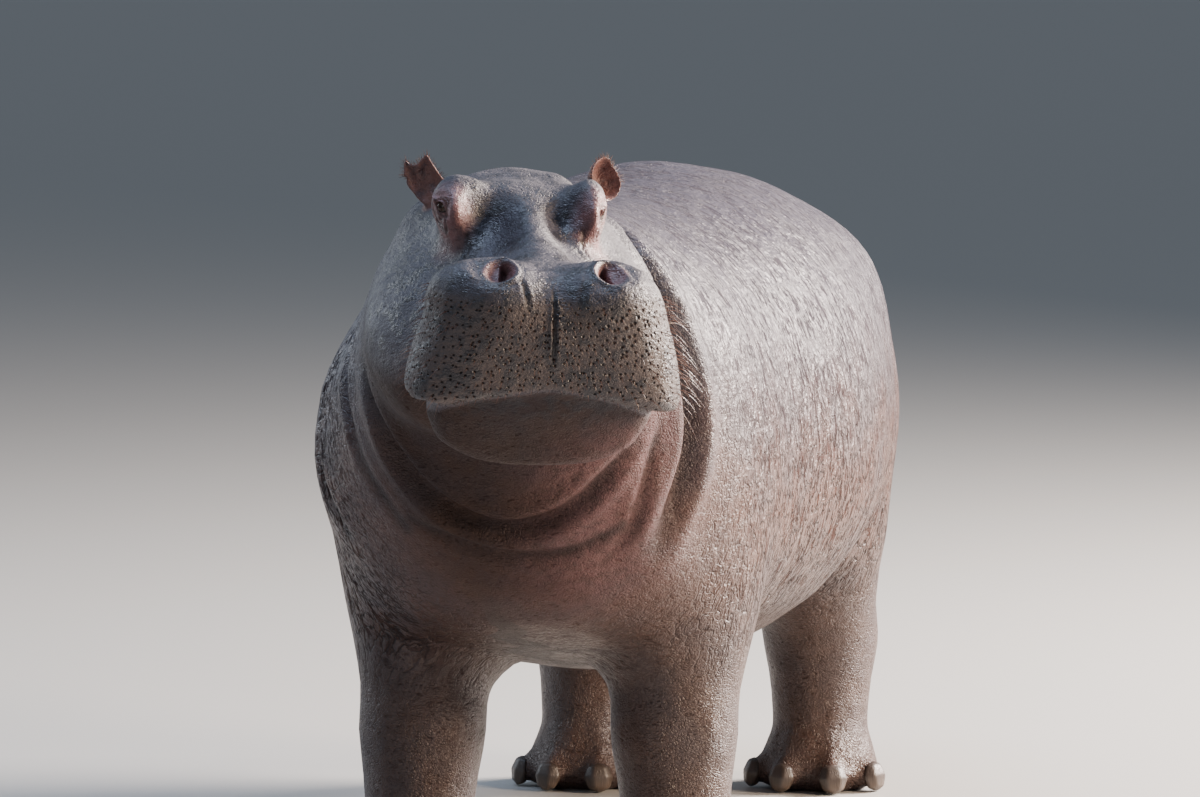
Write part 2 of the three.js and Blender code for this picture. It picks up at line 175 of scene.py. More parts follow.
# The face has a frame of its own: the point midway between the eyes is 0, x runs to the left eye,
# y back through the head and z up through the crown.
HEAD_NOD = math.radians(14.7)
eye_middle = {side: sum(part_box(f"eye_{side}"), Vector()) / 2 for side in ("left", "right")}
face_origin = (eye_middle["left"] + eye_middle["right"]) / 2
face_x = (eye_middle["left"] - eye_middle["right"]).normalized()
level_back = Vector((0, 0, 1)).cross(face_x).normalized()
level_up = face_x.cross(level_back)
lift = math.asin(math.sin(HEAD_NOD) / level_up.z)
face_y = level_back * math.cos(lift) + level_up * math.sin(lift)
face_z = face_x.cross(face_y)
FACE_AXES = np.array([face_x, face_y, face_z]).T
FACE_ORIGIN = np.array(face_origin)


def to_face(points):
    return (points - FACE_ORIGIN) @ FACE_AXES


def from_face(points):
    return points @ FACE_AXES.T + FACE_ORIGIN


VOXEL = 0.01
LEVEL = (1, 1, 0)  # a direction times this is level
hide = evaluated(
    joined_copy(FLESH + sum(NAILS.values(), []), CUT_WIDTH),
    REMESH=dict(mode="VOXEL", voxel_size=VOXEL, adaptivity=0),
)
points = points_of(hide)
face = to_face(points)
height = points[:, 2]
in_head = rise(face[:, 1], 0.42, 0.18) * rise(height, 0.7, 0.8)
in_leg = rise(height, 0.7, 0.5)
in_foot = rise(height, 0.24, 0.16)
in_tail = rise(points[:, 1], 1.54, 1.58)
under_head = rise(face[:, 2], -0.3, -0.4) * rise(face[:, 1], -0.2, 0.0)
softness = 0.06 * (1 - in_head) * (1 - in_leg) + 0.028 * in_leg * (1 - in_foot) + 0.011 * in_foot
softness += in_head * (0.0135 + 0.032 * under_head)
softness = softness * (1 - in_tail) + 0.014 * in_tail
relax(hide, 4 * (softness / VOXEL) ** 2)


def heal(mesh, middle, radius, steps=160):
    """Stretches the hide flat over a hollow of the solids, before its own shape is carved there."""
    near = np.linalg.norm(to_face(points_of(mesh)) - middle, axis=1) < radius
    relax(mesh, np.where(near, steps, 0))


NOSTRILS = {1: np.array([0.109, -0.404, -0.003]), -1: np.array([-0.102, -0.404, -0.003])}
for middle in NOSTRILS.values():
    heal(hide, middle, 0.05)

# Relaxing draws the flesh in a little, most where the flats were widest. It swells back.
points = points_of(hide)
swell = 0.006 * (1 - in_head) * (1 - in_leg) + 0.003 * in_leg * (1 - in_foot)
points += normals_of(hide) * (swell * (1 - in_tail))[:, None]
move_points(hide, points)


def bulge(mesh, middle, reach, push):
    """Pushes the flesh out round a point of the face, by push at the middle and 0 past the reach."""
    face = to_face(points_of(mesh))
    apart = np.linalg.norm((face - middle) / reach, axis=1)
    face += np.array(push) * (1 - rise(apart, 0, 1))[:, None]
    move_points(mesh, from_face(face))


# the corners of the lip, which hang over the jaw, and the square upper corners of the muzzle
for side in (1, -1):
    bulge(hide, (side * 0.24, -0.39, -0.21), (0.13, 0.16, 0.1), (side * 0.005, -0.006, -0.012))
bulge(hide, (-0.19, -0.34, -0.015), (0.13, 0.17, 0.12), (-0.034, 0, 0.008))
bulge(hide, (0.19, -0.34, -0.015), (0.13, 0.17, 0.12), (0.014, 0, 0.006))
bulge(hide, (0.23, -0.38, -0.25), (0.12, 0.15, 0.08), (0, -0.003, -0.014))

# the brows, which run from the orbits to the ridge of the nose
bulge(hide, (-0.08, 0.06, 0.01), (0.1, 0.1, 0.09), (0, -0.012, 0.022))
bulge(hide, (0.085, 0.06, 0.015), (0.08, 0.1, 0.08), (0, -0.008, 0.014))
bulge(hide, (-0.15, 0.01, 0.05), (0.07, 0.08, 0.06), (0, 0, -0.006))
# the lower lip and the chin, set back under the upper lip
bulge(hide, (0, -0.42, -0.33), (0.4, 0.26, 0.13), (0, 0.05, 0))
# the left orbit, which stands closer to the middle than the right one
bulge(hide, (0.18, 0.01, 0.0), (0.12, 0.16, 0.13), (-0.024, 0, -0.006))
# the shoulders of the crown, behind the orbits
bulge(hide, (0.12, 0.17, 0.05), (0.1, 0.16, 0.12), (0.006, 0, 0.044))
bulge(hide, (-0.13, 0.17, 0.05), (0.1, 0.16, 0.12), (-0.006, 0, 0.036))
bulge(hide, (0, 0.17, 0.07), (0.14, 0.2, 0.12), (0, 0, 0.005))


def swell_out(mesh, middle, reach, depth):
    """Swells the flesh out round a point of the body, or draws it in where depth is below 0."""
    points = points_of(mesh)
    apart = np.linalg.norm((points - middle) / reach, axis=1)
    move_points(mesh, points + normals_of(mesh) * (depth * (1 - rise(apart, 0, 1)))[:, None])


swell_out(hide, (0.36, 1.12, 1.24), (0.24, 0.55, 0.22), 0.027)  # left hip
swell_out(hide, (-0.03, 0.6, 1.46), (0.2, 0.26, 0.12), 0.011)  # withers
swell_out(hide, (-0.37, -0.66, 1.25), (0.17, 0.34, 0.2), -0.036)  # top of the right shoulder
swell_out(hide, (-0.4, -0.68, 0.9), (0.2, 0.36, 0.2), 0.018)  # breast beside it
swell_out(hide, (-0.12, -0.97, 1.46), (0.12, 0.2, 0.1), 0.02)  # neck behind the right eye

# each toe stands out of the foot round its nail
for leg, names in NAILS.items():
    foot = middle_of(f"{leg}_foot")
    for name in names:
        middle = middle_of(name)
        out = (middle - foot) * LEVEL
        out /= np.linalg.norm(out)
        points = points_of(hide)
        offset = points - middle
        deep, across = offset @ out, offset @ np.cross(out, (0, 0, 1))
        apart = np.linalg.norm([deep / 0.09, across / 0.044, (offset[:, 2] - 0.004) / 0.07], axis=0)
        points += out * (0.013 * (1 - rise(apart, 0.1, 1)))[:, None]
        points[:, 2] = np.maximum(points[:, 2], 0)
        move_points(hide, points)


def thinned(mesh, loose, wanted):
    """The mesh with its faces merged to about the wanted number, only where loose is above 0."""
    holder = linked("holder", mesh)
    group = holder.vertex_groups.new(name="loose")
    for index in np.flatnonzero(loose > 0):
        group.add([int(index)], float(loose[index]), "REPLACE")
    modifier = holder.modifiers.new("DECIMATE", "DECIMATE")
    modifier.ratio = wanted / sum(len(face.vertices) - 2 for face in mesh.polygons)
    modifier.vertex_group = "loose"
    return applied(holder)


# ---- Hide: folds ---------------------------------------------------------------------------------
# Thick skin rolls up behind the jaw, on the side that the head is turned to, and hangs in creases
# under the throat. Each is pressed in along a course over the body.


def course(*through, count=60):
    """A smooth line of points through the ones given."""
    through = np.array(through, float)
    ends = np.array([2 * through[0] - through[1], *through, 2 * through[-1] - through[-2]])
    samples = []
    for share in np.linspace(0, len(through) - 1 - 1e-6, count):
        i, t = int(share), share % 1
        a, b, c, d = ends[i : i + 4]
        bend = (2 * a - 5 * b + 4 * c - d) * t**2 + (3 * b - 3 * c + d - a) * t**3
        samples.append((2 * b + (c - a) * t + bend) / 2)
    return np.array(samples)


def crease(mesh, line, width, depth, roll=0.4):
    """Presses a crease along a line, deepest at its middle, and rolls the flesh up beside it."""
    points = points_of(mesh)
    reach = 5 * width
    low, high = line.min(0) - reach, line.max(0) + reach
    near = np.flatnonzero(((points > low) & (points < high)).all(axis=1))
    offset = points[near, None] - line[None]
    nearest = (offset**2).sum(2).argmin(1)
    offset = offset[np.arange(len(near)), nearest]
    normals = normals_of(mesh)[near]
    along = (offset * normals).sum(1)
    apart = np.sqrt(np.maximum((offset**2).sum(1) - along**2, 0)) / width
    fade = np.sin(math.pi * (nearest + 0.5) / len(line)) ** 0.6 * (np.abs(along) < reach)
    rolled = roll * np.exp(-(((apart - 2) / 0.9) ** 2))
    points[near] += normals * (depth * fade * (rolled - np.exp(-(apart**2))))[:, None]
    move_points(mesh, points)


# Width, depth and course of each, in metres.
NECK_CREASES = [
    # behind the left cheek, where the turned head crowds the skin
    (
        0.029, 0.052, (0.19, -0.7, 1.45), (0.275, -0.76, 1.35), (0.345, -0.75, 1.2), (0.38, -0.72, 1.0),
        (0.33, -0.74, 0.76),
    ),
    (0.013, 0.012, (0.33, -0.83, 1.05), (0.325, -0.84, 0.94), (0.29, -0.82, 0.82), (0.24, -0.83, 0.74)),
    # round the jowl, from one cheek under the throat to the other
    (
        0.02, 0.034, (-0.24, -0.98, 1.16), (-0.2, -1.0, 1.04), (-0.11, -0.99, 0.9),
        (0.04, -0.95, 0.825), (0.19, -0.93, 0.87), (0.3, -0.9, 1.02),
    ),
    (0.014, 0.012, (-0.15, -0.92, 0.84), (-0.02, -0.93, 0.775), (0.13, -0.88, 0.765), (0.27, -0.83, 0.82)),
    # down the right side of the neck, where it is stretched
    (0.014, 0.01, (-0.28, -0.8, 1.32), (-0.32, -0.87, 1.14), (-0.28, -0.91, 0.98), (-0.17, -0.9, 0.82)),
    (0.02, 0.014, (-0.27, -0.7, 1.4), (-0.38, -0.7, 1.2), (-0.41, -0.7, 1.0), (-0.34, -0.72, 0.78)),
]
crease_lines = []
for width, depth, *through in NECK_CREASES:
    crease_lines.append((course(*through), width))
    crease(hide, *crease_lines[-1], depth)

# fewer and larger faces, but for the head, the neck and the feet
THINNED_FACES = 100000
face = to_face(points_of(hide))
height = points_of(hide)[:, 2]
kept_fine = rise(face[:, 1], 0.5, 0.3) * rise(height, 0.66, 0.74)
hide = thinned(hide, 1 - kept_fine - rise(height, 0.2, 0.16), THINNED_FACES)


def refine(mesh, wanted):
    """Splits each face whose corners are all wanted into four, and joins it to coarser faces."""
    fine = bmesh.new()
    fine.from_mesh(mesh)
    for vert, flag in zip(fine.verts, wanted):
        vert.tag = bool(flag)
    edges = [edge for edge in fine.edges if edge.verts[0].tag and edge.verts[1].tag]
    bmesh.ops.subdivide_edges(fine, edges=edges, cuts=1, use_grid_fill=True)
    bmesh.ops.triangulate(fine, faces=[f for f in fine.faces if len(f.verts) > 4])
    fine.to_mesh(mesh)
    fine.free()


def finer(mesh, wanted, softness, spacing):
    """Refines a mesh where wanted says so, and relaxes what was split."""
    refine(mesh, wanted(points_of(mesh)))
    points = points_of(mesh)
    around = np.where(to_face(points)[:, 1] < 0.3, 3, 0)
    relax(mesh, np.where(wanted(points), 4 * (softness / spacing) ** 2, around))


# where each eye opens, and where its ball looks
EYES = {1: np.array([0.158, 0.0, -0.002]), -1: np.array([-0.175, 0.002, 0.004])}
GAZES = {1: np.array([0.86, -0.5, 0.12]), -1: np.array([-0.72, -0.68, 0.14])}


def near_any(points, middles, radius):
    """Points within a radius of any of the middles, which are in the face's frame."""
    face = to_face(points)
    return np.any([np.linalg.norm(face - middle, axis=1) < radius for middle in middles], axis=0)


EAR_FEET = [middle_of(name) - (0, 0, 0.07) for name in ("ear_left", "ear_right")]


def muzzle_and_eyes(points):
    """Which points lie on the muzzle, round an eye or at the foot of an ear."""
    face = to_face(points)
    muzzle = (face[:, 1] < -0.17) & (face[:, 2] > -0.28)
    left_ear, right_ear = [np.linalg.norm(points - middle, axis=1) < 0.09 for middle in EAR_FEET]
    return muzzle | near_any(points, EYES.values(), 0.11) | left_ear | right_ear


finer(hide, muzzle_and_eyes, 0.005, VOXEL / 2)
for middle in EYES.values():
    heal(hide, middle, 0.034, 120)


def openings(points):
    """Which points lie at the groove of the upper lip, an eye or a nostril."""
    face = to_face(points)
    philtrum = (np.abs(face[:, 0] + 0.002) < 0.012) & (face[:, 1] < -0.42) & (face[:, 2] > -0.2)
    return philtrum | near_any(points, EYES.values(), 0.055) | near_any(points, NOSTRILS.values(), 0.06)


finer(hide, openings, 0.0025, VOXEL / 4)

# ---- Hide: ears ----------------------------------------------------------------------------------
# Small cupped leaves of gristle under the same skin, the right one torn at its rim.

EAR_WALL = 0.0105
# The rim of each ear in its own plane, in millimetres from the middle of its foot, x to the left of
# the animal and y along the ear; then where the foot is in the face, and which way the ear opens.
TORN_RIM = (
    (-14, -34), (-33, -18), (-44, -4), (-54, 7), (-59, 19), (-52, 22), (-63, 28), (-64, 40), (-61, 61),
    (-50, 53), (-37, 53), (-29, 62), (-17, 73), (-7, 59), (4, 43), (13, 30), (22, 16), (20, -22),
)
WHOLE_RIM = (
    (-4, -14), (-17, 6), (-24, 28), (-21, 46), (-9, 62), (8, 70), (22, 68), (32, 57), (40, 46), (51, 33),
    (56, 19), (53, 3), (42, -10), (20, -20),
)
EARS = (
    (TORN_RIM, (-0.161, 0.206, -0.027), (-0.3, -0.9, 0.3), 0.012, (-0.02, 0.012)),
    (WHOLE_RIM, (0.178, 0.205, -0.018), (0.56, -0.77, 0.32), 0.036, (0.014, 0.026)),
)


def leaf(rim, cup, middle, wall=EAR_WALL, rings=14):
    """A shell under a rim: hollow in front by cup, a wall thick, and closed round its edge."""
    loop = course(*rim, rim[0], count=150)[:-1] / 1000
    shell = bmesh.new()
    sides = []
    for behind in (0, 1):
        rows = []
        for share in np.linspace(1, 1 / rings, rings):
            flat = np.array(middle) + (loop - middle) * share
            angle = np.arctan2(*(loop - middle).T)
            deep = -cup * (1 - share**2) - wall * behind * (0.75 + 0.6 * (1 - share))
            deep = deep + 0.0012 * np.sin(angle * 11) * share * (1 - share) * 4
            rows.append([shell.verts.new((x, y, z)) for (x, y), z in zip(flat, deep)])
        pole = shell.verts.new((*middle, -cup - wall * behind * 1.35))
        sides.append((rows, pole))
    around = range(len(loop))
    for (rows, pole), turn in zip(sides, (1, -1)):
        for outer, inner in zip(rows, rows[1:]):
            for i in around:
                shell.faces.new([outer[i - 1], outer[i], inner[i], inner[i - 1]][::turn])
        for i in around:
            shell.faces.new([rows[-1][i - 1], rows[-1][i], pole][::turn])
    front, back = sides[0][0][0], sides[1][0][0]
    for i in around:
        shell.faces.new([front[i], front[i - 1], back[i - 1], back[i]])
    bmesh.ops.recalc_face_normals(shell, faces=shell.faces)
    return shell


def ear_axes(opening):
    """Across, along and out of an ear, as rows in the face's frame."""
    opening = np.array(opening) / np.linalg.norm(opening)
    up = np.array([0, 0.34, 0.94])
    up -= opening * (up @ opening)
    up /= np.linalg.norm(up)
    return np.array([np.cross(up, opening), up, opening])


def ear_shape(rim, foot, opening, cup, middle):
    """One ear in place: its leaf and the gristly stalk that sinks into the head."""
    ear = leaf(rim, cup, middle)
    stalk = bmesh.ops.create_uvsphere(ear, u_segments=24, v_segments=16, radius=1)["verts"]
    for vert in stalk:
        x, y, z = vert.co
        vert.co = (x * 0.023, y * 0.042 - 0.026, z * 0.02 - 0.5 * cup - 0.014)
    shape = bpy.data.meshes.new("ear")
    ear.to_mesh(shape)
    ear.free()
    shape = evaluated(shape, REMESH=dict(mode="VOXEL", voxel_size=0.0025, adaptivity=0))
    relax(shape, np.full(len(shape.vertices), 9))
    move_points(shape, from_face(points_of(shape) @ ear_axes(opening) + foot))
    return shape


# two plain stand-ins, which only tell the faces of the head from those of an ear until they are one
SEAM_SIDES = [bpy.data.materials.new(name) for name in ("under_skin", "under_ear")]


def united(mesh, other):
    """The two meshes as one closed skin. Faces of the other have the second material."""
    base, tool = linked("base", mesh), linked("tool", other)
    for material in SEAM_SIDES:
        mesh.materials.append(material)
        other.materials.append(material)
    other.polygons.foreach_set("material_index", [1] * len(other.polygons))
    modifier = base.modifiers.new("union", "BOOLEAN")
    modifier.operation = "UNION"
    modifier.object = tool
    modifier.solver = "MANIFOLD"
    result = applied(base)
    bpy.data.objects.remove(tool)
    return result


def soften_seam(mesh, reach, steps):
    """Relaxes a band on both sides of where the two materials meet."""
    kinds = [set() for _ in mesh.vertices]
    for face in mesh.polygons:
        for index in face.vertices:
            kinds[index].add(face.material_index)
    points = points_of(mesh)
    seam = [index for index, kind in enumerate(kinds) if len(kind) > 1]
    tree = KDTree(len(seam))
    for index in seam:
        tree.insert(points[index], index)
    tree.balance()
    low, high = points[seam].min(0) - reach, points[seam].max(0) + reach
    count = np.zeros(len(points))
    for index in np.flatnonzero(((points > low) & (points < high)).all(axis=1)):
        count[index] = steps * (1 - rise(tree.find(points[index])[2], 0.3 * reach, reach))
    relax(mesh, np.round(count))


ear_points = []
for ear in EARS:
    shape = ear_shape(*ear)
    ear_points.append(points_of(shape))
    hide = united(hide, shape)
    soften_seam(hide, 0.02, 14)
    hide.materials.clear()
for material in SEAM_SIDES:
    bpy.data.materials.remove(material)

# ---- Hide: face ----------------------------------------------------------------------------------
# Raised nostrils with thick rims, heavy lids, a groove down the middle of the upper lip, and fine
# wrinkles under the eyes.


def facing(mesh, middle, radius):
    """The mesh's mean outward direction round a point of the face, in the face's frame."""
    near = np.linalg.norm(to_face(points_of(mesh)) - middle, axis=1) < radius
    outward = (normals_of(mesh)[near] @ FACE_AXES).mean(0)
    return outward / np.linalg.norm(outward)


def carve_nostril(mesh, side):
    """A hollow that runs back into the muzzle beside a fleshy lobe, inside a thick rim."""
    middle = NOSTRILS[side]
    face = to_face(points_of(mesh))
    outward = facing(mesh, middle, 0.05)
    inner = -side * np.array([1, 0, 0]) + side * outward * outward[0]
    inner /= np.linalg.norm(inner)
    along = np.cross(inner, outward) * side
    near = np.flatnonzero(np.linalg.norm(face - middle, axis=1) < 0.085)
    a, b = (face[near] - middle) @ inner / 0.0265, (face[near] - middle) @ along / 0.033
    ring = np.hypot(a * (1 + 0.16 * b), b - 0.12 * a)
    rim = 0.0065 * np.exp(-(((ring - 1.24) / 0.26) ** 2)) * (0.6 + 0.8 * rise(a, -0.6, 0.8))
    mound = 0.004 * np.exp(-((ring / 2) ** 2))
    lobe = (1 - rise(a - 0.3 * b, -0.1, 0.35)) * (1 - rise(ring, 0.8, 1.0))
    hollow = (0.03 - 0.023 * lobe) * (1 - rise(ring, 0.45, 1.02))
    inward = np.array([0, 0.75, -0.66])
    face[near] += outward * (rim + mound)[:, None] + inward * hollow[:, None]
    move_points(mesh, from_face(face))


for side in (1, -1):
    carve_nostril(hide, side)

BALL = 0.0185
LID_OPENING = (0.014, 0.0092)
LID_TILT = math.radians(24)


def eye_axes(side):
    """Across the lids towards the nose, up over the ball and out along the gaze of one eye."""
    out = GAZES[side] / np.linalg.norm(GAZES[side])
    up = np.array([0, 0, 1]) - out * out[2]
    up /= np.linalg.norm(up)
    nose = np.cross(up, out) * -side
    along, across = math.cos(LID_TILT), math.sin(LID_TILT)
    return along * nose - across * up, along * up + across * nose, out


ball_middles = {}
lid_margins = np.zeros(len(hide.vertices))


def carve_lids(mesh, side):
    """Lids that lie on the eyeball: an almond opening, a thick margin, and furrows above and below."""
    face = to_face(points_of(mesh))
    nose, up, out = eye_axes(side)
    offset = face - EYES[side]
    near = np.flatnonzero((np.linalg.norm(offset, axis=1) < 0.055) & (offset @ out > -0.03))
    a, b, depth = offset[near] @ nose, offset[near] @ up, offset[near] @ out
    surface = depth[np.hypot(a, b) < 0.012].mean()
    ball_depth = surface - BALL + 0.003
    ball_middles[side] = EYES[side] + out * ball_depth
    depth = depth - ball_depth
    almond = np.abs(a / LID_OPENING[0])
    ring = np.hypot(almond, b / LID_OPENING[1] * (1 + 0.7 * almond**2))
    ball = np.sqrt(np.maximum(BALL**2 - a**2 - b**2, 0.0))
    over = rise(b, -0.006, 0.008)
    inside = ball - 0.006
    lid = np.maximum(ball, BALL * 0.7) + 0.003 + 0.0035 * over
    # the ring of the lid's margin, which the hide's colour darkens as painted shade
    lid_margins[near] = np.exp(-(((ring - 1.0) / 0.16) ** 2))
    wanted = inside + (lid - inside) * rise(ring, 0.9, 1.12)
    share = 1 - rise(ring, 1.5, 3.4)
    face[near] += out * ((wanted - depth) * share)[:, None]
    move_points(mesh, from_face(face))


def laid_on(mesh, line):
    """The line moved onto the mesh's surface."""
    points = points_of(mesh)
    near = points[((points > line.min(0) - 0.03) & (points < line.max(0) + 0.03)).all(axis=1)]
    for _ in range(2):
        line = np.array([near[((near - point) ** 2).sum(1).argmin()] for point in line])
        line[1:-1] = (line[:-2] + 2 * line[1:-1] + line[2:]) / 4
    return line


# Folds of the lids: width and depth in metres, and the course in millimetres from the middle of the
# eye, towards the nose and up.
LID_CREASES = [
    (0.0026, 0.0045, (-20, 1), (-13, 12), (0, 16.5), (11, 13), (18, 3)),
    (0.003, 0.0022, (-15, 18), (-2, 25), (12, 21), (20, 12)),
    (0.0024, 0.0035, (-17, -7), (-7, -14), (5, -15), (16, -9)),
    (0.003, 0.0035, (-22, -13), (-9, -23), (6, -25), (20, -17)),
    (0.0032, 0.003, (-18, -26), (-5, -34), (10, -34), (24, -25)),
    (0.0035, 0.0025, (-12, -42), (4, -46), (20, -40), (30, -30)),
    (0.003, 0.003, (18, -3), (27, -8), (36, -20), (38, -34)),
]
for side in (1, -1):
    carve_lids(hide, side)
    nose, up, out = eye_axes(side)
    for width, depth, *through in LID_CREASES:
        flat = course(*through, count=30) / 1000
        sunk = 0.004 - (flat**2).sum(1) / 0.1
        line = EYES[side] + flat[:, :1] * nose + flat[:, 1:] * up + sunk[:, None] * out
        crease_lines.append((laid_on(hide, from_face(line)), width))
        crease(hide, *crease_lines[-1], depth)

# Width, depth and course in the face's frame: two wrinkles that run down and back below each eye,
# then the groove of the upper lip and the two beside the nose.
FACE_CREASES = [
    (
        0.005, 0.004, (0.11, -0.035, -0.03), (0.125, -0.07, -0.065), (0.16, -0.085, -0.09),
        (0.19, -0.07, -0.11),
    ),
    (
        0.006, 0.004, (0.095, -0.06, -0.045), (0.12, -0.105, -0.085), (0.165, -0.12, -0.11),
        (0.2, -0.1, -0.14),
    ),
    (
        0.005, 0.004, (-0.12, -0.04, -0.035), (-0.135, -0.075, -0.07), (-0.165, -0.085, -0.095),
        (-0.195, -0.07, -0.11),
    ),
    (
        0.006, 0.004, (-0.1, -0.06, -0.05), (-0.125, -0.105, -0.09), (-0.17, -0.12, -0.115),
        (-0.205, -0.1, -0.14),
    ),
    (
        0.0034, 0.0065, (-0.003, -0.44, -0.015), (-0.001, -0.462, -0.06), (0.0, -0.48, -0.11),
        (0.001, -0.486, -0.15),
    ),
    (0.005, 0.004, (-0.068, -0.436, -0.005), (-0.062, -0.45, -0.025), (-0.057, -0.46, -0.045)),
    (0.005, 0.003, (0.06, -0.434, -0.002), (0.056, -0.448, -0.02), (0.052, -0.458, -0.036)),
]
for width, depth, *through in FACE_CREASES:
    crease_lines.append((laid_on(hide, from_face(course(*through))), width))
    crease(hide, *crease_lines[-1], depth)
relax(hide, np.where(openings(points_of(hide)), 2, 0))

# ---- Hide: surface -------------------------------------------------------------------------------
# Hairless skin, purplish grey above and pinkish brown below, cracked into fine scales. On the flanks
# the cracks run round the body. The muzzle is full of pits, from which its bristles grow.

BODY_AXIS = 0.95  # height of the line that the skin of the trunk is unrolled round
points = points_of(hide)
face = to_face(points)
height = points[:, 2]
around_body = np.arctan2(points[:, 0], height - BODY_AXIS)
around_muzzle = np.arctan2(face[:, 0], -(face[:, 1] + 0.17))

tree = KDTree(sum(len(shape) for shape in ear_points))
for index, point in enumerate(np.concatenate(ear_points)):
    tree.insert(point, index)
tree.balance()
high_on_head = np.flatnonzero((face[:, 1] > 0.1) & (face[:, 1] < 0.34) & (face[:, 2] > -0.13))
on_ear = np.zeros(len(points))
for index in high_on_head:
    on_ear[index] = 1 - rise(tree.find(points[index])[2], 0.002, 0.008)

rosy = np.zeros(len(points))
for side in (1, -1):
    below = EYES[side] + (0, -0.015, -0.012)
    from_eye = np.linalg.norm((face - below) / (1, 1, 1.3), axis=1)
    from_nostril = np.linalg.norm(face - NOSTRILS[side], axis=1)
    rosy = np.maximum(rosy, 1 - rise(from_eye, 0.04, 0.085))
    rosy = np.maximum(rosy, 0.9 * (1 - rise(from_nostril, 0.028, 0.044)))
throat = rise(face[:, 2], -0.25, -0.36) * rise(face[:, 1], 0.28, 0.1)
rosy = np.maximum(rosy, 0.45 * throat * rise(face[:, 0], -0.05, 0.2))
rosy = np.maximum(rosy, on_ear)
on_trunk = rise(face[:, 1], 0.16, 0.5) * rise(height, 0.36, 0.66)
front = rise(face[:, 1], -0.22, -0.3) * rise(face[:, 2], -0.275, -0.255)
lip = -0.203 - 0.062 * (face[:, 0] / 0.185) ** 2
pitted = front * rise(face[:, 2], -0.02, -0.045) * rise(face[:, 2] - lip, -0.004, 0.006)
# painted shade: the band under the overhanging upper lip, darkened with the throat
under_lip_shade = rise(face[:, 2] - lip, 0.004, -0.012) * rise(face[:, 1], 0.05, -0.1)

# painted shade: how close each point lies to a crease or a lid's margin, by which the colour is darkened
# there
creased = np.zeros(len(points))
for line, width in crease_lines:
    low, high = line.min(0) - 3 * width, line.max(0) + 3 * width
    near = np.flatnonzero(((points > low) & (points < high)).all(axis=1))
    apart = np.linalg.norm(points[near, None] - line[None], axis=2).min(1)
    creased[near] = np.maximum(creased[near], np.exp(-((apart / width / 1.2) ** 2)))
creased = np.maximum(creased, lid_margins)


def keep_values(mesh, name, values):
    """Stores a value or a vector for each point, for the material to read."""
    vector = values.ndim == 2
    layer = mesh.attributes.new(name, "FLOAT_VECTOR" if vector else "FLOAT", "POINT")
    layer.data.foreach_set("vector" if vector else "value", values.ravel())


# The skin unrolled round the body and round the muzzle, in metres: angles times a mean radius.
BODY_RADIUS, MUZZLE_RADIUS = 0.55, 0.25
radius = np.hypot(points[:, 0], height - BODY_AXIS)
from_lip_corner = np.linalg.norm(face - (0.135, -0.43, -0.075), axis=1)
for name, values in {
    "rosy": rosy,
    "on_face": rise(face[:, 1], 0.34, 0.16) * rise(face[:, 2], -0.34, -0.22),
    "creased": creased,
    "on_ear": on_ear,
    "on_trunk": on_trunk,
    "pitted": pitted,
    "coarse": 1 - rise(from_lip_corner, 0.02, 0.1),
    # painted shade on the throat and under the upper lip
    "throat": np.maximum(throat, under_lip_shade),
    "round_body": np.stack([points[:, 1], around_body * BODY_RADIUS, radius * 0.2], 1),
    "round_muzzle": np.stack([around_muzzle * MUZZLE_RADIUS, face[:, 2], face[:, 2] * 0], 1),
}.items():
    keep_values(hide, name, values)


def linear(colour):
    """A colour written as sRGB hex in the linear values that a shader takes."""
    values = [int(colour[i : i + 2], 16) / 255 for i in (1, 3, 5)]
    return (*(v / 12.92 if v <= 0.04045 else ((v + 0.055) / 1.055) ** 2.4 for v in values), 1)


def add(tree, kind, sockets=None, **settings):
    """One new node. Each socket named or numbered is linked where it is given another socket."""
    node = tree.nodes.new(kind)
    for key, value in settings.items():
        setattr(node, key, value)
    for key, value in (sockets or {}).items():
        if isinstance(value, bpy.types.NodeSocket):
            tree.links.new(value, node.inputs[key])
        else:
            node.inputs[key].default_value = value
    return node


def math_of(tree, operation, *values):
    return add(tree, "ShaderNodeMath", dict(enumerate(values)), operation=operation).outputs[0]


def times(tree, first, second):
    return math_of(tree, "MULTIPLY", first, second)


def plus(tree, first, second):
    return math_of(tree, "ADD", first, second)


def vector_math(tree, operation, sockets):
    return add(tree, "ShaderNodeVectorMath", sockets, operation=operation).outputs[0]


def step_of(tree, value, start, end, low=0.0, high=1.0):
    """A smooth step of a value, from low at start to high at end."""
    sockets = {"Value": value, "From Min": start, "From Max": end, "To Min": low, "To Max": high}
    return add(tree, "ShaderNodeMapRange", sockets, interpolation_type="SMOOTHSTEP").outputs[0]


def value_of(tree, name, vector=False):
    """What the mesh stores under a name for each point."""
    return add(tree, "ShaderNodeAttribute", attribute_name=name).outputs["Vector" if vector else "Fac"]


def scaled(tree, vector, sizes):
    """The vector in units of the given sizes, in metres."""
    return vector_math(tree, "MULTIPLY", {0: vector, 1: tuple(1 / size for size in sizes)})


def noise_of(tree, vector, sizes, detail=3, roughness=0.55):
    """Cloudy noise, with spots of about the given sizes in metres."""
    sockets = {"Vector": scaled(tree, vector, sizes), "Scale": 1}
    sockets |= {"Detail": detail, "Roughness": roughness}
    return add(tree, "ShaderNodeTexNoise", sockets).outputs["Fac"]


def mixed(tree, factor, first, second):
    """The first colour turned into the second by a factor. Either may be written as hex."""
    node = add(tree, "ShaderNodeMix", data_type="RGBA")
    for key, value in ((0, factor), (6, first), (7, second)):
        if isinstance(value, bpy.types.NodeSocket):
            tree.links.new(value, node.inputs[key])
        else:
            node.inputs[key].default_value = linear(value) if isinstance(value, str) else value
    return node.outputs[2]


def new_material(name):
    material = bpy.data.materials.new(name)
    material.use_nodes = True
    return material, material.node_tree, material.node_tree.nodes["Principled BSDF"]
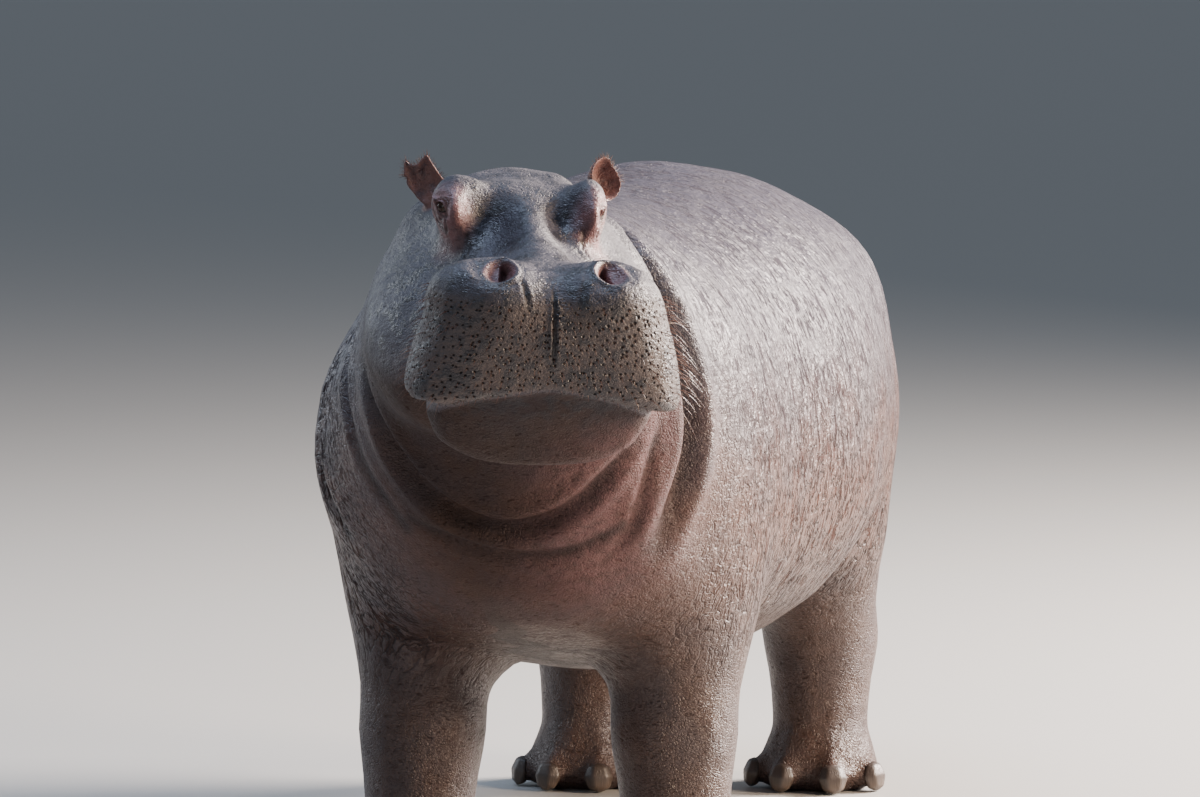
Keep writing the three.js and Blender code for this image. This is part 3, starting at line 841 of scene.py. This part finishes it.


# Bare hippopotamus hide: a thin, finely cracked horny layer, still moist from the river, with
# painted shade on the crown, the throat and under the lip, and in its creases, cracks and pits.
hide_skin, tree, skin = new_material("hippo_hide")
place = add(tree, "ShaderNodeTexCoord").outputs["Object"]
high = add(tree, "ShaderNodeSeparateXYZ", {0: place}).outputs["Z"]
trunk_share = value_of(tree, "on_trunk")
face_share = value_of(tree, "on_face")
ear_share = value_of(tree, "on_ear")
shaded_throat_share = value_of(tree, "throat")
pit_share = value_of(tree, "pitted")

# places on the skin, swayed by 22 mm at most so that no crack runs straight
SWAY = 0.022
sway = add(tree, "ShaderNodeTexNoise", {"Vector": scaled(tree, place, (0.06,) * 3), "Scale": 1, "Detail": 2})
sway = vector_math(tree, "SUBTRACT", {0: sway.outputs["Color"], 1: (0.5,) * 3})
sway = vector_math(tree, "SCALE", {0: sway, 3: SWAY})
round_body = vector_math(tree, "ADD", {0: value_of(tree, "round_body", vector=True), 1: sway})
bent = vector_math(tree, "ADD", {0: place, 1: sway})

# long cracks of 13 by 55 mm and short ones of 6 by 21 mm round the trunk
long_cracks = step_of(tree, noise_of(tree, round_body, (0.013, 0.055, 0.06), 3, 0.6), 0.44, 0.39)
short_cracks = step_of(tree, noise_of(tree, round_body, (0.006, 0.021, 0.03), 2), 0.46, 0.395)
patchy = step_of(tree, noise_of(tree, place, (0.1,) * 3, 2), 0.35, 0.6, 0.3, 1.0)
trunk_cracks = math_of(tree, "MAXIMUM", long_cracks, times(tree, short_cracks, patchy))

# soft scales of about 8 mm on the rest, fainter on the face and the ears
scales = add(
    tree, "ShaderNodeTexVoronoi", {"Vector": scaled(tree, bent, (0.0075, 0.0075, 0.006)), "Scale": 1},
    feature="DISTANCE_TO_EDGE",
).outputs[0]
wrinkles = noise_of(tree, bent, (0.016, 0.016, 0.008), 3)
seam_depth = step_of(tree, wrinkles, 0.4, 0.65, 0.1, 0.45)
scale_seams = times(tree, step_of(tree, scales, 0.2, 0.0), seam_depth)
scale_seams = math_of(tree, "MAXIMUM", scale_seams, step_of(tree, wrinkles, 0.43, 0.3, 0.0, 0.6))
scale_seams = times(tree, scale_seams, step_of(tree, ear_share, 0.5, 0.0, 0.25, 1.0))
scale_seams = times(tree, scale_seams, step_of(tree, face_share, 0.0, 1.0, 0.9, 0.45))
cracks = add(tree, "ShaderNodeMix", {0: trunk_share, 2: scale_seams, 3: trunk_cracks}).outputs[0]

# a net of wrinkles, 26 by 50 mm a mesh, low on the flanks
folds = math_of(tree, "SUBTRACT", noise_of(tree, round_body, (0.026, 0.05, 0.05), 2), 0.5)
low_down = times(tree, step_of(tree, high, 1.35, 0.75), trunk_share)
fold_seams = times(tree, step_of(tree, math_of(tree, "ABSOLUTE", folds), 0.05, 0.0), low_down)

# the pits of the bristles, one in each cell of a loose grid, larger at the left corner of the lip
PIT_SPACING = (0.0115, 0.014, 0.02)
PIT_SCATTER = 0.8


def pit_cells(tree, unrolled):
    """The cells of the pits, the same in the hide's material and where bristles are planted."""
    sockets = {"Vector": scaled(tree, unrolled, PIT_SPACING), "Scale": 1, "Randomness": PIT_SCATTER}
    return add(tree, "ShaderNodeTexVoronoi", sockets, voronoi_dimensions="2D").outputs


cell_distance = pit_cells(tree, value_of(tree, "round_muzzle", vector=True))["Distance"]
pit_reach = plus(tree, 0.25, times(tree, value_of(tree, "coarse"), 0.16))
pits = times(tree, step_of(tree, cell_distance, pit_reach, 0.04), pit_share)

# colour: by height, with the muzzle and the tender places of their own, and painted shade on the
# crown, the throat and under the lip, and in the creases, cracks, seams of the folds and pits
mottle = noise_of(tree, place, (0.12,) * 3, 4)
patches = noise_of(tree, place, (0.035, 0.035, 0.03), 4, 0.6)
pink_share = step_of(tree, noise_of(tree, place, (0.02,) * 3, 3), 0.3, 0.6, 0.5, 1.0)
ahead = math_of(tree, "SUBTRACT", 1.0, trunk_share)
height_share = step_of(tree, plus(tree, high, times(tree, mottle, 0.3)), 1.4, 0.85)
ground = mixed(tree, height_share, "#3b3842", "#4c2f23")
for share, colour in (
    (step_of(tree, high, 0.85, 0.45, 0.0, 0.75), "#382a25"),  # legs
    # darker on top of the head: partly its own slate tone, partly painted shade for the crown turned away
    # from the low light
    (times(tree, step_of(tree, high, 1.15, 1.45, 0.0, 0.8), ahead), "#2b2a33"),  # top of the head
    (times(tree, pit_share, 0.7), "#44372f"),  # muzzle
    # painted shade on the chin and the throat, under the overhang of the upper lip
    (times(tree, shaded_throat_share, 0.85), "#2c1d14"),
    (step_of(tree, mottle, 0.35, 0.7, 0.0, 0.4), "#2c292f"),  # clouds all over
    (times(tree, step_of(tree, patches, 0.46, 0.6, 0.0, 0.8), face_share), "#1b1a20"),  # wet face
    (times(tree, value_of(tree, "rosy"), pink_share), mixed(tree, ear_share, "#704e4f", "#65433e")),
    # painted shade along the creases and the margins of the lids
    (times(tree, value_of(tree, "creased"), 0.75), "#191212"),
    # painted shade in the cracks
    (times(tree, cracks, 0.4), "#181112"),
    # painted shade in the seams of the wrinkles low on the flanks
    (times(tree, fold_seams, 0.7), "#171010"),
    # painted shade in the pits of the muzzle
    (times(tree, pits, 0.72), "#15100d"),
):
    ground = mixed(tree, share, ground, colour)
tree.links.new(ground, skin.inputs["Base Color"])

# shine: moist on top and on the face, dull in the throat, and without any gleam in a crack or a pit
shine = step_of(tree, mottle, 0.3, 0.7, 0.36, 0.48)
for more in (
    times(tree, shaded_throat_share, 0.2),
    times(tree, cracks, 0.3),
    times(tree, step_of(tree, patches, 0.6, 0.4, -0.04, 0.16), face_share),
    times(tree, step_of(tree, high, 1.45, 1.56, 0.0, 0.16), ahead),
):
    shine = plus(tree, shine, more)
tree.links.new(shine, skin.inputs["Roughness"])
sunk = math_of(tree, "MAXIMUM", math_of(tree, "MAXIMUM", cracks, fold_seams), pits)
gloss = math_of(tree, "SUBTRACT", 0.5, times(tree, shaded_throat_share, 0.28))
gloss = times(tree, gloss, math_of(tree, "SUBTRACT", 1.0, times(tree, sunk, 0.88)))
tree.links.new(gloss, skin.inputs["Specular IOR Level"])

# relief, in metres out of the skin
fine = noise_of(tree, bent, (0.0035,) * 3, 2)
hammered = times(tree, noise_of(tree, round_body, (0.03, 0.05, 0.06), 2), trunk_share)
relief = times(tree, cracks, -0.0042)
for part, deep in (
    (fold_seams, -0.006), (pits, -0.0035), (fine, 0.001), (mottle, 0.004), (wrinkles, 0.0035),
    (hammered, 0.008), (patches, 0.006),
):
    relief = plus(tree, relief, times(tree, part, deep))
bump = add(tree, "ShaderNodeBump", {"Height": relief, "Strength": 1, "Distance": 1})
tree.links.new(bump.outputs[0], skin.inputs["Normal"])


def smooth_piece(name, mesh, material):
    """A finished piece of the animal: smooth all over, and of one material."""
    mesh.polygons.foreach_set("use_smooth", [True] * len(mesh.polygons))
    mesh.materials.clear()
    mesh.materials.append(material)
    return linked(name, mesh)


hippo = smooth_piece("hide", hide, hide_skin)
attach(hippo, "root")
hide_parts(*FLESH, "ear_left", "ear_right")

# ---- Eyes ----------------------------------------------------------------------------------------
# Wet balls with a yellowish brown iris and a level slit of a pupil, set deep between the lids.

# The eyeball under its film of tears: dark brown white, brown iris, black pupil.
eye_film, tree, wet = new_material("wet_eye")
look = value_of(tree, "look", vector=True)
off_middle, off_slit = [
    add(tree, "ShaderNodeVectorMath", {0: vector}, operation="LENGTH").outputs["Value"]
    for vector in (look, scaled(tree, look, (0.0042, 0.0019, 1)))
]
iris = mixed(tree, noise_of(tree, look, (0.0012,) * 3, 2), "#150a05", "#3f230e")
ball_paint = mixed(tree, step_of(tree, off_middle, 0.0082, 0.0095), iris, "#1f110e")
ball_paint = mixed(tree, step_of(tree, off_slit, 1.1, 0.9), ball_paint, "#050404")
tree.links.new(ball_paint, wet.inputs["Base Color"])
wet.inputs["Roughness"].default_value = 0.06
wet.inputs["Specular IOR Level"].default_value = 0.3

for side, name in ((1, "eye_left"), (-1, "eye_right")):
    ball = bmesh.new()
    bmesh.ops.create_uvsphere(ball, u_segments=48, v_segments=32, radius=BALL - 0.0005)
    eye_mesh = bpy.data.meshes.new(name)
    ball.to_mesh(eye_mesh)
    ball.free()
    nose, up, out = eye_axes(side)
    local = points_of(eye_mesh)
    # how far each point is off the gaze. The back of the ball is far off it.
    keep_values(eye_mesh, "look", local * (1, 1, 0) + (local[:, 2:] <= 0))
    axes = np.array([np.cross(up, out), up, out])
    move_points(eye_mesh, from_face(local @ axes + ball_middles[side]))
    eye = smooth_piece(f"wet_{name}", eye_mesh, eye_film)
    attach(eye, "root")
    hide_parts(name)

# ---- Nails ---------------------------------------------------------------------------------------
# Four broad hoof-like nails on each foot, of grey-brown horn worn smooth.

# Horn of the nails: grey brown, paler at the worn lower edge, with fine upright grain.
nail_horn, tree, horn = new_material("nail_horn")
place = add(tree, "ShaderNodeTexCoord").outputs["Object"]
high = add(tree, "ShaderNodeSeparateXYZ", {0: place}).outputs["Z"]
grain = noise_of(tree, place, (0.003, 0.003, 0.04), 3)
horn_paint = mixed(tree, step_of(tree, high, 0.05, 0.0), "#352c28", "#55483e")
horn_paint = mixed(tree, step_of(tree, grain, 0.35, 0.65, 0.0, 0.4), horn_paint, "#241d1a")
tree.links.new(horn_paint, horn.inputs["Base Color"])
horn.inputs["Roughness"].default_value = 0.42
horn_relief = add(tree, "ShaderNodeBump", {"Height": times(tree, grain, 0.0012), "Distance": 1})
tree.links.new(horn_relief.outputs[0], horn.inputs["Normal"])

for leg, names in NAILS.items():
    united_nails = joined_copy(names, 0)
    nail_mesh = evaluated(united_nails, REMESH=dict(mode="VOXEL", voxel_size=0.003, adaptivity=0))
    relax(nail_mesh, np.full(len(nail_mesh.vertices), 5))
    points = points_of(nail_mesh) + normals_of(nail_mesh) * 0.003
    outward = (points - middle_of(f"{leg}_foot")) * LEVEL
    points += 0.009 * outward / np.linalg.norm(outward, axis=1)[:, None]
    points[:, 2] = np.maximum(points[:, 2], 0)
    move_points(nail_mesh, points)
    nails = smooth_piece(f"nails_{leg}", nail_mesh, nail_horn)
    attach(nails, "root")
    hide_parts(*names)

# ---- Bristles ------------------------------------------------------------------------------------
# A hippopotamus has no coat, only stiff bristles: short ones in the pits of the muzzle, long reddish
# ones at the sides of the lips, a fringe on the ears and two rows at the end of the tail.

# Bristle: reddish brown horn, opaque here, though a real bristle is thin enough to let some light through.
bristle_horn, tree, bristle = new_material("bristle_horn")
bristle.inputs["Base Color"].default_value = linear("#4c2a1c")
bristle.inputs["Roughness"].default_value = 0.4

BRISTLE_SIDES, BRISTLE_PARTS = 4, 5
PATCH_SIZE = 0.003  # of the unwrapped skin that one bristle takes


def one_bristle():
    """A straight bristle 1 long and 1 thick at its root, that ends in a point."""
    stem = bmesh.new()
    rows = []
    for part in range(BRISTLE_PARTS):
        share = part / BRISTLE_PARTS
        thick = 0.5 * (1 - 0.75 * share)
        angles = [math.tau * side / BRISTLE_SIDES for side in range(BRISTLE_SIDES)]
        rows.append([stem.verts.new((math.cos(a) * thick, math.sin(a) * thick, share)) for a in angles])
    tip = stem.verts.new((0, 0, 1))
    for low, top in zip(rows, rows[1:]):
        for side in range(BRISTLE_SIDES):
            stem.faces.new((low[side - 1], low[side], top[side], top[side - 1]))
    for side in range(BRISTLE_SIDES):
        stem.faces.new((rows[-1][side - 1], rows[-1][side], tip))
    stem.faces.new(rows[0][::-1])
    bmesh.ops.recalc_face_normals(stem, faces=stem.faces)
    mesh = bpy.data.meshes.new("bristle")
    stem.to_mesh(mesh)
    stem.free()
    own = mesh.uv_layers.new(name="own")
    for loop in mesh.loops:
        co = mesh.vertices[loop.vertex_index].co
        own.data[loop.index].uv = (0.5 + co.x * 0.8 + 0.1 * co.z, co.z)
    return mesh


def bristle_nodes():
    """Geometry Nodes: a bristle on each root, along its aim, bent by gravity, with its patch."""
    tree = bpy.data.node_groups.new("bristles", "GeometryNodeTree")
    for name, kind in (
        ("Roots", "Geometry"), ("Bristle", "Object"), ("Thickness", "Float"), ("Droop", "Float"),
        ("Patch", "Float"), ("Horn", "Material"),
    ):
        tree.interface.new_socket(name, in_out="INPUT", socket_type=f"NodeSocket{kind}")
    tree.interface.new_socket("Bristles", in_out="OUTPUT", socket_type="NodeSocketGeometry")
    given = add(tree, "NodeGroupInput").outputs

    def named(name, kind):
        return add(tree, "GeometryNodeInputNamedAttribute", {0: name}, data_type=kind).outputs[0]

    shape = add(tree, "GeometryNodeObjectInfo", {"Object": given["Bristle"]}).outputs["Geometry"]
    aim = named("aim", "FLOAT_VECTOR")
    length = named("length", "FLOAT")
    turn = add(tree, "FunctionNodeAlignRotationToVector", {"Vector": aim}, axis="Z").outputs[0]
    thick = given["Thickness"]
    size = add(tree, "ShaderNodeCombineXYZ", {0: thick, 1: thick, 2: length}).outputs[0]
    placed = add(
        tree, "GeometryNodeInstanceOnPoints",
        {"Points": given["Roots"], "Instance": shape, "Rotation": turn, "Scale": size},
    ).outputs[0]
    grown = add(tree, "GeometryNodeRealizeInstances", {0: placed}).outputs[0]
    own = named("own", "FLOAT_VECTOR")
    up_share = add(tree, "ShaderNodeSeparateXYZ", {0: own}).outputs["Y"]
    bend = times(tree, math_of(tree, "POWER", up_share, 2.0), given["Droop"])
    sag = vector_math(tree, "SCALE", {0: named("sag", "FLOAT_VECTOR"), 3: times(tree, bend, length)})
    hung = add(tree, "GeometryNodeSetPosition", {0: grown, "Offset": sag}).outputs[0]
    corner = vector_math(tree, "SCALE", {0: own, 3: given["Patch"]})
    patch = vector_math(tree, "ADD", {0: named("root_uv", "FLOAT_VECTOR"), 1: corner})
    kept = add(
        tree, "GeometryNodeStoreNamedAttribute", {"Geometry": hung, "Name": "OFBake", "Value": patch},
        data_type="FLOAT2", domain="CORNER",
    ).outputs[0]
    kept = add(tree, "GeometryNodeSetMaterial", {0: kept, "Material": given["Horn"]}).outputs[0]
    add(tree, "NodeGroupOutput", {0: kept})
    return tree


BRISTLE_TREE = bristle_nodes()
BRISTLE_SHAPE = bpy.data.objects.new("one_bristle", one_bristle())


def grow_bristles(name, roots, aims, lengths, sags, thickness, droop, patches):
    """One piece of bristles from arrays of roots, directions, lengths and ways to bend."""
    mesh = bpy.data.meshes.new(name)
    mesh.from_pydata([tuple(root) for root in roots], [], [])
    layers = {"aim": aims, "length": lengths, "sag": sags, "root_uv": patches}
    for layer, values in layers.items():
        keep_values(mesh, layer, values)
    holder = linked("holder", mesh)
    modifier = holder.modifiers.new("bristles", "NODES")
    modifier.node_group = BRISTLE_TREE
    sockets = {item.name: item.identifier for item in BRISTLE_TREE.interface.items_tree}
    settings = {
        "Bristle": BRISTLE_SHAPE, "Thickness": thickness, "Droop": droop, "Patch": PATCH_SIZE,
        "Horn": bristle_horn,
    }
    for socket, value in settings.items():
        modifier[sockets[socket]] = value
    result = applied(holder)
    for layer in (*layers, "own"):
        if layer in result.attributes:
            result.attributes.remove(result.attributes[layer])
    piece = linked(name, result)
    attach(piece, "root")


UNWRAPPED_LENGTH = 3.4


def unwrapped(points):
    """Where points lie on the hide rolled out round the body: 0 to 1 both ways."""
    turn = np.arctan2(points[:, 0], points[:, 2] - BODY_AXIS) / math.tau + 0.5
    along = points[:, 1] / UNWRAPPED_LENGTH + 0.5
    return np.stack([turn * 0.99, along * 0.99, np.zeros(len(points))], 1)


def pit_cells_of(mesh):
    """For each point, the middle of its pit as the hide's material places it."""
    tree = bpy.data.node_groups.new("pits", "GeometryNodeTree")
    tree.interface.new_socket("Hide", in_out="INPUT", socket_type="NodeSocketGeometry")
    tree.interface.new_socket("Hide", in_out="OUTPUT", socket_type="NodeSocketGeometry")
    given = add(tree, "NodeGroupInput").outputs[0]
    unrolled = add(
        tree, "GeometryNodeInputNamedAttribute", {0: "round_muzzle"}, data_type="FLOAT_VECTOR"
    ).outputs[0]
    cells = pit_cells(tree, unrolled)
    kept = given
    for name, output, kind in (("pit_middle", "Position", "FLOAT_VECTOR"), ("pit_off", "Distance", "FLOAT")):
        kept = add(
            tree, "GeometryNodeStoreNamedAttribute",
            {"Geometry": kept, "Name": name, "Value": cells[output]},
            data_type=kind, domain="POINT",
        ).outputs[0]
    add(tree, "NodeGroupOutput", {0: kept})
    holder = linked("holder", mesh)
    holder.modifiers.new("pits", "NODES").node_group = tree
    result = applied(holder)
    middle = np.empty(len(result.vertices) * 3)
    off = np.empty(len(result.vertices))
    result.attributes["pit_middle"].data.foreach_get("vector", middle)
    result.attributes["pit_off"].data.foreach_get("value", off)
    bpy.data.meshes.remove(result)
    return middle.reshape(-1, 3), off


# one in each pit of the muzzle, rarer and longer behind the corners of the lips
middles, off = pit_cells_of(hide)
points, normals = points_of(hide), normals_of(hide)
face = to_face(points)
wild = np.random.default_rng(7)
candidates = np.flatnonzero((pitted > 0.6) & (off < 0.5))
candidates = candidates[np.argsort(off[candidates])]
first = np.unique(np.round(middles[candidates, :2], 2), axis=0, return_index=True)[1]
roots = candidates[first]
roots = roots[(np.abs(face[roots, 0]) < 0.17) | (wild.random(len(roots)) < 0.45)]
out = normals[roots] @ FACE_AXES
sideways = np.sign(face[roots, 0])[:, None] * np.array([1, 0, 0])
aims = out + 0.55 * sideways + np.array([0, 0.1, -0.25]) + wild.normal(0, 0.25, (len(roots), 3))
aims /= np.linalg.norm(aims, axis=1)[:, None]
edge = rise(np.abs(face[roots, 0]), 0.15, 0.23)
long_ones = (0.025 + 0.055 * wild.random(len(roots))) * np.where(face[roots, 0] > 0, 1, 0.4)
lengths = (0.006 + 0.007 * wild.random(len(roots))) * (1 - edge) + long_ones * edge
sags = np.tile((0, 0.3, -1), (len(roots), 1)) @ FACE_AXES.T
grow_bristles(
    "muzzle_bristles", points[roots] - normals[roots] * 0.002, aims @ FACE_AXES.T, lengths, sags,
    0.0015, 0.75, unwrapped(points[roots]),
)

# fringe of the ears: short hairs in two rows along the upper rim
roots, aims = [], []
for rim, foot, opening, cup, middle in EARS:
    axes = ear_axes(opening)
    loop = course(*rim, rim[0], count=110) / 1000
    for behind in (0.3, 0.7):
        for spot in loop[loop[:, 1] > 0.022]:
            spot = spot + wild.normal(0, 0.0012, 2)
            inward = np.array(middle) - spot
            root = np.append(spot + inward * 0.05, -behind * EAR_WALL)
            aim = np.append(-inward / np.linalg.norm(inward), 0.3) + wild.normal(0, 0.25, 3)
            roots.append(root @ axes + foot)
            aims.append(aim @ axes / np.linalg.norm(aim))
roots, aims = from_face(np.array(roots)), np.array(aims) @ FACE_AXES.T
sags = np.tile((0, 0.0, -1), (len(roots), 1))
grow_bristles(
    "ear_fringe", roots, aims, 0.006 + 0.01 * wild.random(len(roots)), sags, 0.0007, 0.1, unwrapped(roots)
)

# two rows of stiff bristles along the edges of the tail's end
points, normals = points_of(hide), normals_of(hide)
on_edge = (points[:, 1] > 1.5) & (points[:, 2] < 0.84) & (points[:, 2] > 0.66)
on_edge &= (np.abs(normals[:, 0]) > 0.6) & (np.abs(points[:, 0]) < 0.08)
roots = wild.choice(np.flatnonzero(on_edge), 150)
aims = normals[roots] * 0.7 + (0, 0.1, -1) + wild.normal(0, 0.12, (len(roots), 3))
aims /= np.linalg.norm(aims, axis=1)[:, None]
sags = np.tile((0, 0.0, -1), (len(roots), 1))
spots = points[roots] - normals[roots] * 0.002 + wild.normal(0, 0.002, (len(roots), 3))
lengths = 0.03 + 0.03 * wild.random(len(roots))
grow_bristles("tail_bristles", spots, aims, lengths, sags, 0.0016, 0.25, unwrapped(spots))

# ---- Floor and light -----------------------------------------------------------------------------
# A plain pale floor without an edge in sight, under large soft lamps.

FLOOR_REACH = 400
floor_mesh = bpy.data.meshes.new("floor")
corners = [(x * FLOOR_REACH, y * FLOOR_REACH, 0) for x, y in ((-1, -1), (1, -1), (1, 1), (-1, 1))]
floor_mesh.from_pydata(corners, [], [(0, 1, 2, 3)])
floor = linked("floor", floor_mesh)
# Matt pale grey paint.
floor_paint, _, paint = new_material("floor_paint")
paint.inputs["Base Color"].default_value = (0.34, 0.34, 0.33, 1)
floor_mesh.materials.append(floor_paint)

world = bpy.data.worlds.new("studio")
bpy.context.scene.world = world
world.use_nodes = True
world.node_tree.nodes["Background"].inputs["Color"].default_value = (0.75, 0.85, 1, 1)
world.node_tree.nodes["Background"].inputs["Strength"].default_value = 0.3


def lamp(name, place, size, power, colour):
    """A round soft lamp that is turned to the middle of the animal's chest."""
    light = bpy.data.lights.new(name, "AREA")
    light.shape = "DISK"
    light.size = size
    light.energy = power
    light.color = colour
    stand = linked(name, light)
    stand.location = place
    stand.rotation_euler = (Vector(place) - Vector((0, -0.6, 0.9))).to_track_quat("Z", "Y").to_euler()


lamp("key", (6.5, 5, 4.5), 3.4, 7000, (1, 0.87, 0.79))
lamp("side", (6.5, -0.4, 2.8), 2, 1100, (1, 0.76, 0.56))
lamp("sky", (-1, -0.6, 8), 4, 560, (0.6, 0.74, 1))
lamp("back", (-7, 3, 3.5), 4, 200, (0.85, 0.92, 1))
lamp("front", (-3.5, -8, 2.6), 4, 60, (0.9, 0.95, 1))
